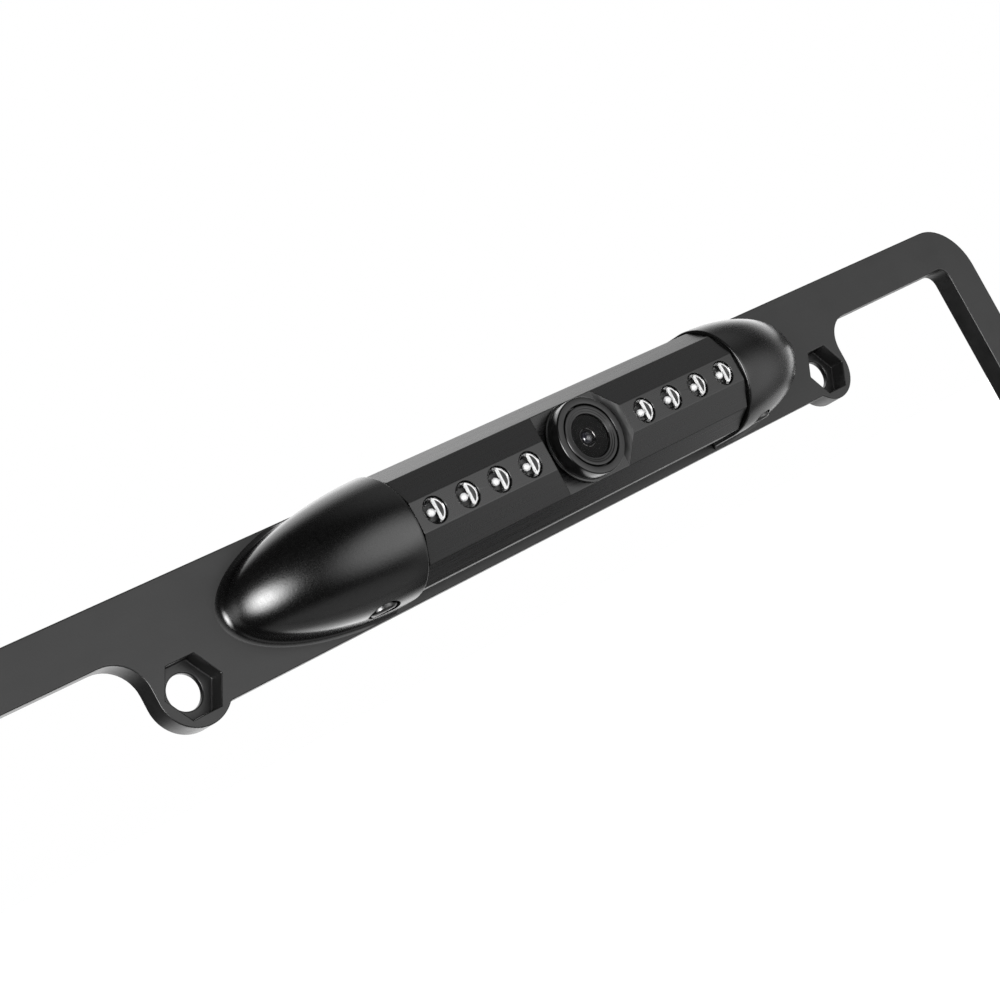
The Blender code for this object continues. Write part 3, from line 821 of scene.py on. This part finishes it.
def cap_screw_cutters(side, up):
    """A seat for the head in the back and a hole right through."""
    centre = (side * CAP_SCREW_X, AXIS.z + up * CAP_SCREW_Z)
    tag = f"{side}_{up}"
    seat = circle(centre, CAP_SEAT_R, SMALL_SIDES)
    way = circle(centre, CAP_WAY_R, WAY_SIDES)
    return [prism(f"cut_seat_{tag}", seat, -CAP_SEAT_DEPTH, REACH, along_y),
            prism(f"cut_way_{tag}", way, FRONT - REACH, REACH, along_y)]


def make_frame_plate():
    plate = prism("plate_frame_body", outer_outline(), FRONT, 0, along_y, FRAME_PAINT)
    window = upper_window() + lower_window()
    cutters = [prism("cut_window", window, FRONT - REACH, REACH, along_y)]
    slot_low = (-SLOT_HALF_X, FRONT - REACH, AXIS.z - SLOT_HALF_Z)
    cutters.append(box("cut_slot", slot_low, (SLOT_HALF_X, REACH, AXIS.z + SLOT_HALF_Z)))
    for side, _ in SIDES:
        for z in (0, LOWER_BOLT_Z):
            cutters += bolt_cutters(side, z)
        for up in (-1, 1):
            cutters += cap_screw_cutters(side, up)
    carve(plate, cutters)
    soften(plate, PLATE_ROUND)
    stand_for(plate, "frame", "frame_black", "frame_plate")


# ------------------------------------------------------------------ end caps

def cap_outside(length, x, height, z):
    """Below 1 inside the cap's dome, above 1 outside. x and z are from the mouth's foot."""
    u = max(x / length, 0)
    if u >= 1:
        return 1 + u
    width = CAP_R * math.sqrt(1 - u * u)
    top = CAP_RISE * (1 - u ** CAP_HEIGHT_POWER) ** (1 / CAP_HEIGHT_POWER)
    straight = top * (CAP_RISE - CAP_R) / CAP_RISE
    if height <= straight:
        return abs(z) / width
    return math.hypot(z / width, (height - straight) / (top - straight))


def cap_with_flare(side, x, height, z):
    """The dome with a concave flare that runs out onto the plate but not past its edges."""
    length = CAP_REACH[side]
    plain = cap_outside(length, x, height, z)
    if plain < 1 or not FLARE_LOW < z < FLARE_HIGH:
        return plain
    along = max(x, 0) / length ** 2
    across = z / CAP_R ** 2
    size = math.hypot(along, across) or 1
    lean = along / size
    flare = FLARE_SIDE + (FLARE_TIP[side] - FLARE_SIDE) * lean ** FLARE_POWER
    spread = 0
    if height < flare:
        spread = flare - math.sqrt(flare ** 2 - (flare - height) ** 2)
    return cap_outside(length, x - spread * lean, height, z - spread * across / size)


def cap_surface_point(side, alpha, beta):
    """Where a ray from the middle of the mouth's foot leaves the cap."""
    way = Vector((math.cos(beta) * math.cos(alpha), math.cos(beta) * math.sin(alpha), math.sin(beta)))
    near = 0.0
    far = CAP_SEARCH * CAP_REACH[side]
    for _ in range(CAP_HALVINGS):
        middle = (near + far) / 2
        point = way * middle
        if cap_with_flare(side, point.x, point.y, point.z) < 1:
            near = middle
        else:
            far = middle
    return way * near


def cap_rows(side):
    """Rows of points on the cap's outside, from the plate round to the mouth."""
    rows = []
    for i in range(CAP_ROWS + 1):
        alpha = PI / 2 * (i / CAP_ROWS) ** CAP_ROW_POWER
        row = []
        for j in range(1, CAP_COLUMNS):
            beta = -PI / 2 + PI * j / CAP_COLUMNS
            point = cap_surface_point(side, alpha, beta)
            point.x = max(point.x, RIM_ROUND)
            row.append(point)
        rows.append(row)
    return rows


def rim_row(outside, turn):
    """One row of the rounding at the mouth, turned inwards by so many degrees."""
    middle = Vector((0, CAP_RISE - CAP_R, 0))
    angle = math.radians(turn)
    row = []
    for point in outside:
        inward = (middle - Vector((0, point.y, point.z))).normalized()
        shifted = point + inward * RIM_ROUND * (1 - math.cos(angle))
        shifted.x = RIM_ROUND * (1 - math.sin(angle))
        row.append(shifted)
    return row


def cap_place(side, point):
    return Vector((side * (CAP_MOUTH + point.x), FRONT - point.y, AXIS.z + point.z))


def cap_bmesh(side):
    """A closed cap: its dome and flare, its rounded rim, its foot and its mouth."""
    rows = cap_rows(side)
    rows += [rim_row(rows[-1], turn) for turn in RIM_TURNS]
    bm = bmesh.new()
    grid = [[bm.verts.new(cap_place(side, point)) for point in row] for row in rows]
    for lower, upper in zip(grid, grid[1:]):
        for j in range(len(lower) - 1):
            bm.faces.new((lower[j], lower[j + 1], upper[j + 1], upper[j]))
    bm.faces.new(grid[0])
    bm.faces.new(grid[-1])
    for end in (0, -1):
        bm.faces.new([row[end] for row in grid])
    bm.faces.new((grid[0][0], grid[0][-1], grid[-1][-1], grid[-1][0]))
    return bm


def lock_recess(side):
    """Cutter for the lock screw's chamfered hole in the cap's underside."""
    under = AXIS.z - CAP_R
    wide = LOCK_RECESS_R + RECESS_CHAMFER
    steps = ((under - REACH, LOCK_RECESS_R + REACH), (under - RECESS_LEAD, wide),
             (under + RECESS_CHAMFER, LOCK_RECESS_R), (under + LOCK_RECESS_DEPTH, LOCK_RECESS_R))
    place = facing_up(side * LOCK.x, LOCK.y)
    return turned(f"cut_lock_{side}", plug(*steps), place, sides=HOLE_SIDES)


def make_end_cap(side, word):
    cap = new_object(f"{word}_cap_shell", cap_bmesh(side), CAP_PAINT)
    axis = facing_side(side)
    mouth = plug((CAP_MOUTH - REACH, MOUTH_BORE_R), (CAP_MOUTH + MOUTH_DEPTH, MOUTH_BORE_R))
    bore = plug((CAP_MOUTH, JOURNAL_BORE_R), (CAP_MOUTH + JOURNAL_BORE_DEPTH, JOURNAL_BORE_R))
    cutters = [turned("cut_mouth", mouth, axis, sides=ROUND_SIDES), turned("cut_bore", bore, axis),
               lock_recess(side)]
    carve(cap, cutters)
    keep_sharp(cap, CAP_SHARP)
    stand_for(cap, "frame", "cap_black", f"{word}_end_cap")


# ------------------------------------------------------------------ screws

def finish_screw(screw, cutters):
    carve(screw, cutters)
    soften(screw, SCREW_EDGE_ROUND, segments=2, angle=30)


def make_lock_screw(side, word):
    """A cross-recess screw sunk in the cap's underside."""
    node = f"{word}_lock_screw"
    low, high = span(node)
    head_r = (high.x - low.x) / 2
    head_end = low.z + LOCK_HEAD_T
    slope_height, slope_width = LOCK_HEAD_SLOPE
    steps = plug((low.z, head_r - slope_width), (low.z + slope_height, head_r), (head_end, head_r),
                 (head_end, LOCK_SHANK_R), (high.z, LOCK_SHANK_R))
    x = side * LOCK.x
    y = LOCK.y
    profile = rounded(steps, SCREW_PROFILE_ROUND)
    screw = turned(f"{word}_lock_screw_body", profile, facing_up(x, y), STEEL)
    arms = (("a", CROSS_HALF_WIDTH, CROSS_HALF_LENGTH), ("b", CROSS_HALF_LENGTH, CROSS_HALF_WIDTH))
    cutters = []
    for name, half_x, half_y in arms:
        outline = [(x + sx * half_x, y + sy * half_y) for sx, sy in ((-1, -1), (1, -1), (1, 1), (-1, 1))]
        cutters.append(prism(f"cut_cross_{name}", outline, low.z - REACH, low.z + CROSS_DEPTH, along_z))
    finish_screw(screw, cutters)
    stand_for(screw, f"{word}_lock", "screw_steel", node)


def make_cap_screw(side, word, up, level):
    """A pan-head socket screw seen from the back of the frame."""
    node = f"{word}_{level}_cap_screw"
    low, high = span(node)
    head_r = (high.x - low.x) / 2
    centre = (side * CAP_SCREW_X, AXIS.z + up * CAP_SCREW_Z)
    steps = plug((CAP_HEAD_TOP, head_r - CAP_HEAD_SLOPE), (CAP_HEAD_RIM, head_r),
                 (CAP_HEAD_UNDERSIDE, head_r), (CAP_HEAD_UNDERSIDE, CAP_SHANK_R), (-low.y, CAP_SHANK_R))
    profile = rounded(steps, SCREW_PROFILE_ROUND)
    place = facing_front(centre[0], 0, centre[1])
    screw = turned(f"{word}_{level}_cap_screw_body", profile, place, STEEL)
    socket = prism("cut_socket", circle(centre, SOCKET_R, 6), -SOCKET_DEPTH, REACH, along_y)
    finish_screw(screw, [socket])
    stand_for(screw, "frame", "screw_steel", node)


# ------------------------------------------------------------------ tilting tube

def notch_cutter():
    """The camera's recess: a flat floor and two side walls that lean outwards."""
    floor = AXIS.y - NOTCH_FLOOR
    depth = FACET - NOTCH_FLOOR
    slope = (NOTCH_TOP_HALF - NOTCH_FLOOR_HALF) / depth
    reach = depth + REACH
    wide = NOTCH_FLOOR_HALF + slope * reach
    outline = [(-NOTCH_FLOOR_HALF, floor), (NOTCH_FLOOR_HALF, floor),
               (wide, floor - reach), (-wide, floor - reach)]
    return prism("cut_notch", outline, AXIS.z - NOTCH_CUT_HALF, AXIS.z + NOTCH_CUT_HALF, along_z)


def dull_notch_walls(tube):
    tube.data.materials.append(MILLED)
    for face in tube.data.polygons:
        across = abs(face.center.x) / MM
        if NOTCH_FLOOR_HALF < across < NOTCH_TOP_HALF and abs(face.normal.x) > WALL_NORMAL:
            face.material_index = 1


def led_nodes():
    return [f"{word}_led_{i}" for _, word in SIDES for i in (1, 2, 3, 4)]


def make_tube():
    """The twelve-sided tube with its bore, the camera's recess and the holes in its walls."""
    half_step = 180 / TUBE_SIDES
    outline = arc((AXIS.y, AXIS.z), TUBE_R, half_step, 360 - half_step, TUBE_SIDES - 1)
    tube = prism("tube_shell", outline, -TUBE_HALF, TUBE_HALF, along_x, TUBE_FINISH)
    front = AXIS.y - TUBE_R - REACH
    back = AXIS.y + TUBE_R + REACH
    bore = circle((AXIS.y, AXIS.z), TUBE_BORE_R, BORE_SIDES)
    camera_hole = circle((0, AXIS.z), CAMERA_HOLE_R, BORE_SIDES)
    gland_hole = circle((0, AXIS.z), GLAND_HOLE_R, HOLE_SIDES)
    cutters = [notch_cutter()]
    cutters.append(prism("cut_tube_bore", bore, -TUBE_HALF - REACH, TUBE_HALF + REACH, along_x))
    cutters.append(prism("cut_camera", camera_hole, front, AXIS.y, along_y))
    cutters.append(prism("cut_gland", gland_hole, AXIS.y, back, along_y))
    for node in led_nodes():
        low, high = span(node)
        hole = circle(((low.x + high.x) / 2, AXIS.z), LED_HOLE_R, SMALL_SIDES)
        cutters.append(prism(f"cut_{node}", hole, front, AXIS.y, along_y))
    carve(tube, cutters)
    dull_notch_walls(tube)
    soften(tube, TUBE_ROUND, segments=2, angle=20)
    stand_for(tube, "camera_tube", "tube_black", "tube_housing")


# ------------------------------------------------------------------ LEDs

def add_ball(bm, place, centre, radius, slot):
    profile = [(-radius, 0)]
    for i in range(1, BALL_STEPS):
        angle = PI * i / BALL_STEPS
        profile.append((radius * -math.cos(angle), radius * math.sin(angle)))
    profile.append((radius, 0))
    add_turned(bm, profile, place @ Matrix.Translation(centre), BALL_SIDES, slot)


def add_lead(bm, matrix, chord, radius, low, high, slot):
    """A flat lead end: the part of a disc beyond a chord."""
    half = math.degrees(math.acos(chord / radius))
    outline = arc((0, 0), radius, -half, half, LEAD_STEPS)
    add_prism(bm, outline, low, high, lambda u, v, depth: matrix @ Vector((u, v, depth)), slot)


def led_shell(tip, seat):
    """(height, radius) pairs of the clear dome and its thin wall."""
    inner_r = LED_R - LED_WALL
    inside = dome(tip - LED_WALL, inner_r, LED_DOME)
    return list(reversed(inside)) + [(seat, inner_r), (seat, LED_R)] + dome(tip, LED_R, LED_DOME)


def make_led(node):
    """A clear dome over a dark seat, with a silvered cup, and a pellet, its bond and a lead end painted
    near-white as glints of reflected light.
    """
    low, high = span(node)
    tip = FACET + LED_PROUD
    seat = tip - LED_SEAT_DEPTH
    back = AXIS.y - high.y
    flange = back + LED_FLANGE_T
    floor = plug((back, LED_FLANGE_R), (flange, LED_FLANGE_R), (flange, LED_R), (seat - LED_SEAT_GAP, LED_R))
    cup = [(tip - depth, radius) for depth, radius in LED_CUP]
    place = facing_front((low.x + high.x) / 2)
    bm = bmesh.new()
    add_turned(bm, led_shell(tip, seat), place, LED_SIDES, EPOXY_SLOT)
    add_turned(bm, floor, place, LED_SIDES, SEAT_SLOT)
    add_turned(bm, cup, place, LED_SIDES, SILVER_SLOT)
    # Painted glints: the near-white pellet and bond, then the lead end's painted streak over its dark
    # middle.
    for across, depth, radius in LED_GLINT_BALLS:
        add_ball(bm, place, (*across, tip - depth), radius, GLINT_SLOT)
    for chord, radius, under, over, slot in LED_LEADS:
        add_lead(bm, place, chord, radius, tip - under, tip - over, slot)
    led = new_object(f"{node}_lamp", bm, EPOXY, LED_SEAT, PAINTED_GLINT, SILVER)
    keep_sharp(led, LED_SHARP)
    stand_for(led, "camera_tube", "led_clear", node)


# ------------------------------------------------------------------ camera

def make_camera_barrel():
    """A stepped ring with a seat for the bezel and one fine groove just over its foot."""
    foot = NOTCH_FLOOR + FOOT_LIFT
    back = AXIS.y - BARREL_HIGH.y
    seat = LENS_FRONT - BEZEL_SEAT_DEPTH
    lip = BEZEL_R + BEZEL_GAP
    inside = [(back, BARREL_BORE_R), (seat, BARREL_BORE_R), (seat, lip), (LENS_FRONT - LIP_CHAMFER, lip)]
    face = [(LENS_FRONT, lip + LIP_CHAMFER), (LENS_FRONT, BARREL_R - BARREL_CHAMFER),
            (LENS_FRONT - BARREL_CHAMFER, BARREL_R)]
    groove = [(foot + height, BARREL_R - depth) for height, depth in BARREL_GROOVE]
    base = [(foot + BARREL_FOOT_T, BARREL_FOOT_R), (foot, BARREL_FOOT_R),
            (foot, BARREL_TAIL_R), (back, BARREL_TAIL_R)]
    profile = rounded(inside + face + groove + base, BARREL_ROUND)
    barrel = turned("camera_barrel_body", profile, facing_front(), BARREL_PAINT, sides=FINE_SIDES)
    keep_sharp(barrel, RING_SHARP)
    stand_for(barrel, "camera_tube", "barrel_black", "camera_barrel")


def make_lens_bezel():
    """A flush ring with two shallow steps down to the glass."""
    face = LENS_FRONT - BEZEL_SUNK
    back = AXIS.y - BEZEL_HIGH.y
    steps = [(face - depth, radius) for depth, radius in BEZEL_STEPS]
    profile = rounded([(back, PANE_R + PANE_GAP)] + steps + [(back, BEZEL_R)], BEZEL_ROUND)
    bezel = turned("lens_bezel_body", profile, facing_front(), BARREL_PAINT, sides=FINE_SIDES)
    keep_sharp(bezel, RING_SHARP)
    stand_for(bezel, "camera_tube", "barrel_black", "lens_bezel")


def make_cover_glass():
    face = LENS_FRONT - PANE_DEPTH
    steps = plug((face - PANE_T, PANE_R), (face - PANE_CHAMFER, PANE_R), (face, PANE_R - PANE_CHAMFER))
    glass = turned("cover_glass_pane", steps, facing_front(), COVER_GLASS, sides=ROUND_SIDES)
    keep_sharp(glass, GLASS_SHARP)
    stand_for(glass, "camera_tube", "lens_glass", "cover_glass")


def make_front_element():
    """The dark face behind the glass, a thin bright ring and the small domed lens."""
    face = LENS_FRONT - WELL
    back = face + WELL_BACK
    place = facing_front()
    bm = bmesh.new()
    for section, slot in WELL_RINGS:
        ring = [(face + height, radius) for height, radius in section]
        add_turned(bm, ring, place, ROUND_SIDES, slot)
    lens = [(back, 0), (back, LENS_R)] + dome(face + LENS_TOP, LENS_R, LENS_RISE)
    add_turned(bm, lens, place, ROUND_SIDES, LENS_SLOT)
    element = new_object("front_lens_body", bm, LENS_BLACK, SILVER, LENS_GLASS)
    keep_sharp(element, GLASS_SHARP)
    stand_for(element, "camera_tube", "lens_glass", "front_lens")


def make_cable_gland():
    low, high = span("cable_gland")
    outer = AXIS.y - high.y
    inner = AXIS.y - low.y
    flange = inner - GLAND_FLANGE_T
    wide = GLAND_NECK_R + GLAND_FLANGE_W
    profile = [(outer, GLAND_WAY_R), (outer, GLAND_NECK_R), (flange, GLAND_NECK_R), (flange, wide),
               (inner, wide), (inner, GLAND_WAY_R)]
    gland = turned("cable_gland_body", rounded(profile, GLAND_ROUND), facing_front(), RUBBER)
    keep_sharp(gland, GLAND_SHARP)
    stand_for(gland, "camera_tube", "seal_rubber", "cable_gland")


# ------------------------------------------------------------------ CAD nodes that stay

KEPT = {
    "end_plug": (PLASTIC, "inner_plastic"), "friction_ring": (RUBBER, "seal_rubber"),
    "led_board": (BOARD, "board_green"), "board_lead": (RIBBON, "ribbon_tan"),
    "lock_pad": (BRASS, "pad_brass"), "glass_seal": (RUBBER, "seal_rubber"),
    "lens_barrel": (PLASTIC, "inner_plastic"),
    "middle_lens": (LENS_GLASS, "lens_glass"), "rear_lens": (LENS_GLASS, "lens_glass"),
    "lens_holder": (PLASTIC, "inner_plastic"), "ir_filter": (LENS_GLASS, "lens_glass"),
    "image_sensor": (SENSOR, "sensor_ceramic"), "sensor_board": (BOARD, "board_green"),
}


def dress_kept_nodes():
    for name, obj in frame["nodes"].items():
        if obj.hide_render:
            continue
        part = name.removeprefix("left_").removeprefix("right_")
        material, slot = KEPT[part]
        obj.data.materials.clear()
        obj.data.materials.append(material)


# ------------------------------------------------------------------ studio

CAMERA_AT = Vector((-245.28, -295.57, -13.87))
CAMERA_AIM = Vector((-12.04, -5.15, 5.65))
CAMERA_ROLL = -28.33
CAMERA_LENS = 69.77
CAMERA_SENSOR = 36
CAMERA_CLIP = 10

SOFTBOX_AIM = Vector((-70, -14, 8))    # the left cap
SOFTBOX_TURN = -60
SOFTBOX_RISE = -1
SOFTBOX_FAR = 620
SOFTBOX_SIZE = 180
SOFTBOX_WATTS = 0.9
FLOOR_HALF = 9000

# Soft panels of light: (turn, rise) of the middle, half angles where full and where gone, strength.
# A turn of 0 is straight in front, 90 is the right and 180 is behind the frame.
PANELS = (
    ((-61, -1), 8, 29, 19.5),      # the softbox, at the left
    ((16, -9), 12, 41, 2.9),       # broad fill in front
    ((58, -20), 12, 43, 1.05),     # its spill at the right
    ((62, 46), 10, 38, 0.45),      # and above
    ((152, 44), 10, 42, 2.3),      # high behind on the right
    ((141, 0), 22, 44, 1.1),       # the white backdrop
    ((114, 5), 10, 25, 2.0),       # its edge on the right
    ((109, -30), 5, 16, 0.9),      # and lower down
    ((168, -33), 14, 35, 2.4),     # off the table behind
    ((0, -90), 26, 42, 0.6),       # off the table below
)
ROOM = 0.04                    # light from the rest of the room


def heading(turn, rise):
    turn = math.radians(turn)
    rise = math.radians(rise)
    return Vector((math.sin(turn) * math.cos(rise), -math.cos(turn) * math.cos(rise), math.sin(rise)))


def make_camera():
    camera = bpy.data.objects.new("camera", bpy.data.cameras.new("camera"))
    bpy.context.scene.collection.objects.link(camera)
    level = (CAMERA_AIM - CAMERA_AT).to_track_quat('-Z', 'Y').to_matrix().to_4x4()
    roll = Matrix.Rotation(math.radians(CAMERA_ROLL), 4, 'Z')
    camera.matrix_world = Matrix.Translation(CAMERA_AT * MM) @ level @ roll
    camera.data.lens = CAMERA_LENS
    camera.data.sensor_width = CAMERA_SENSOR
    camera.data.clip_start = CAMERA_CLIP * MM
    bpy.context.scene.camera = camera


def panel_strength(tree, direction, middle, full, gone, strength):
    """How strong one soft panel is in a direction."""
    dot = tree.nodes.new("ShaderNodeVectorMath")
    dot.operation = 'DOT_PRODUCT'
    dot.inputs[1].default_value = heading(*middle)
    tree.links.new(direction, dot.inputs[0])
    angle = tree.nodes.new("ShaderNodeMath")
    angle.operation = 'ARCCOSINE'
    tree.links.new(dot.outputs["Value"], angle.inputs[0])
    fade = tree.nodes.new("ShaderNodeMapRange")
    fade.interpolation_type = 'SMOOTHSTEP'
    fade.inputs["From Min"].default_value = math.radians(gone)
    fade.inputs["From Max"].default_value = math.radians(full)
    fade.inputs["To Max"].default_value = strength
    tree.links.new(angle.outputs["Value"], fade.inputs["Value"])
    return fade.outputs["Result"]


def total_strength(tree):
    """All the panels together, and the room."""
    direction = tree.nodes.new("ShaderNodeTexCoord").outputs["Generated"]
    total = None
    for panel in PANELS:
        add = tree.nodes.new("ShaderNodeMath")
        tree.links.new(panel_strength(tree, direction, *panel), add.inputs[0])
        if total is None:
            add.inputs[1].default_value = ROOM
        else:
            tree.links.new(total, add.inputs[1])
        total = add.outputs["Value"]
    return total


def make_world():
    """White behind the object for the camera; soft panels of light for everything else."""
    world = bpy.data.worlds.new("studio")
    bpy.context.scene.world = world
    world.use_nodes = True
    tree = world.node_tree
    tree.nodes.clear()
    panels = tree.nodes.new("ShaderNodeBackground")
    tree.links.new(total_strength(tree), panels.inputs["Strength"])
    backdrop = tree.nodes.new("ShaderNodeBackground")
    backdrop.inputs["Color"].default_value = (1, 1, 1, 1)
    mix = tree.nodes.new("ShaderNodeMixShader")
    tree.links.new(tree.nodes.new("ShaderNodeLightPath").outputs["Is Camera Ray"], mix.inputs["Fac"])
    tree.links.new(panels.outputs["Background"], mix.inputs[1])
    tree.links.new(backdrop.outputs["Background"], mix.inputs[2])
    output = tree.nodes.new("ShaderNodeOutputWorld")
    tree.links.new(mix.outputs["Shader"], output.inputs["Surface"])


def make_softbox():
    at = SOFTBOX_AIM + heading(SOFTBOX_TURN, SOFTBOX_RISE) * SOFTBOX_FAR
    light = bpy.data.lights.new("left_softbox", 'AREA')
    light.shape = 'RECTANGLE'
    light.size = SOFTBOX_SIZE * MM
    light.size_y = SOFTBOX_SIZE * MM
    light.energy = SOFTBOX_WATTS
    lamp = bpy.data.objects.new("left_softbox", light)
    lamp.location = at * MM
    lamp.rotation_mode = 'QUATERNION'
    lamp.rotation_quaternion = (SOFTBOX_AIM - at).to_track_quat('-Z', 'Y')
    lamp.visible_camera = False
    bpy.context.scene.collection.objects.link(lamp)


def make_floor():
    bm = bmesh.new()
    half = FLOOR_HALF
    corners = ((-half, -half), (half, -half), (half, half), (-half, half))
    bm.faces.new([bm.verts.new((x, y, BOTTOM)) for x, y in corners])
    floor = new_object("floor", bm, floor_white())
    floor.visible_glossy = False
    floor.visible_diffuse = False


# ------------------------------------------------------------------ assembly

def main():
    make_frame_plate()
    for side, word in SIDES:
        make_end_cap(side, word)
        make_lock_screw(side, word)
        for up, level in ((-1, "lower"), (1, "upper")):
            make_cap_screw(side, word, up, level)
    make_tube()
    for node in led_nodes():
        make_led(node)
    make_camera_barrel()
    make_lens_bezel()
    make_cover_glass()
    make_front_element()
    make_cable_gland()
    dress_kept_nodes()
    make_camera()
    make_world()
    make_softbox()
    make_floor()
    bpy.context.scene.view_settings.view_transform = 'Standard'


main()
